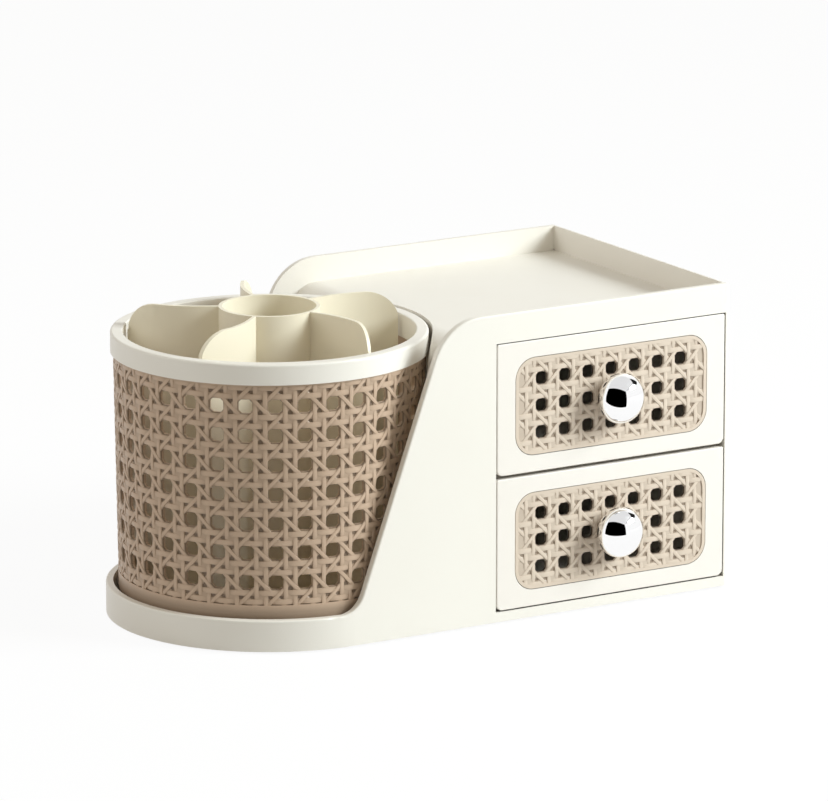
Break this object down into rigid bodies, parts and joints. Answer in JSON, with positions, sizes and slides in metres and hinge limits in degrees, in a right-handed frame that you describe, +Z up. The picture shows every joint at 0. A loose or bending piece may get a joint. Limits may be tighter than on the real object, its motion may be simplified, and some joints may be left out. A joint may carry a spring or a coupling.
{
  "type": "rotating desk organizer with drawers",
  "caption": "Desk organizer with a turning cane-look pen drum and swirl dividers beside a housing with an open tray and cane-front drawers.",
  "frame": {"origin": "under the middle of the bounding box, on the surface that the feet stand on", "axes": "+X from the drum along the front to the drawers' end wall, -Y out of the drawer fronts, +Z up"},
  "size_m": [0.2652, 0.165, 0.1388],
  "materials": {
    "cream_plastic": "fine satin moulding",
    "taupe_plastic": "satin moulding with cane relief",
    "knob_chrome": "polished plating",
    "zinc_steel": "zinc plated",
    "bearing_steel": "polished",
    "natural_nylon": "satin",
    "foot_rubber": "matte"
  },
  "bodies": {
    "housing_body": {"housing": "cream_plastic", "base_plate": "cream_plastic", "rubber_feet": "foot_rubber", "base_screws": "zinc_steel", "drawer_shelf": "cream_plastic", "shelf_screws": "zinc_steel", "pivot_washer": "zinc_steel", "pivot_screw": "zinc_steel"},
    "drum": {"drum_sleeve": "taupe_plastic", "rim_ring": "cream_plastic", "divider_insert": "cream_plastic", "drum_platter": "cream_plastic", "platter_screws": "zinc_steel"},
    "ball_set": {"ball_cage": "natural_nylon", "bearing_balls": "bearing_steel"},
    "upper_drawer_unit": {"upper_drawer": "cream_plastic", "upper_cane_panel": "taupe_plastic", "upper_knob": "knob_chrome", "upper_knob_washer": "zinc_steel", "upper_knob_screw": "zinc_steel"},
    "lower_drawer_unit": {"lower_drawer": "cream_plastic", "lower_cane_panel": "taupe_plastic", "lower_knob": "knob_chrome", "lower_knob_washer": "zinc_steel", "lower_knob_screw": "zinc_steel"}
  },
  "joints": [
    {"name": "drum_spin", "type": "hinge", "parent": "housing_body", "child": "drum", "pos_m": [-0.06005, 0.01, 0.012], "axis": [0, 0, 1], "continuous": true},
    {"name": "ball_roll", "type": "hinge", "parent": "housing_body", "child": "ball_set", "pos_m": [-0.06005, 0.01, 0.006], "axis": [0, 0, 1], "continuous": true},
    {"name": "upper_drawer_slide", "type": "slide", "parent": "housing_body", "child": "upper_drawer_unit", "axis": [0, -1, 0], "range_m": [0, 0.095]},
    {"name": "lower_drawer_slide", "type": "slide", "parent": "housing_body", "child": "lower_drawer_unit", "axis": [0, -1, 0], "range_m": [0, 0.095]}
  ],
  "couplings": [
    {"joint": "ball_roll", "follows": "drum_spin", "ratio": 0.5}
  ]
}
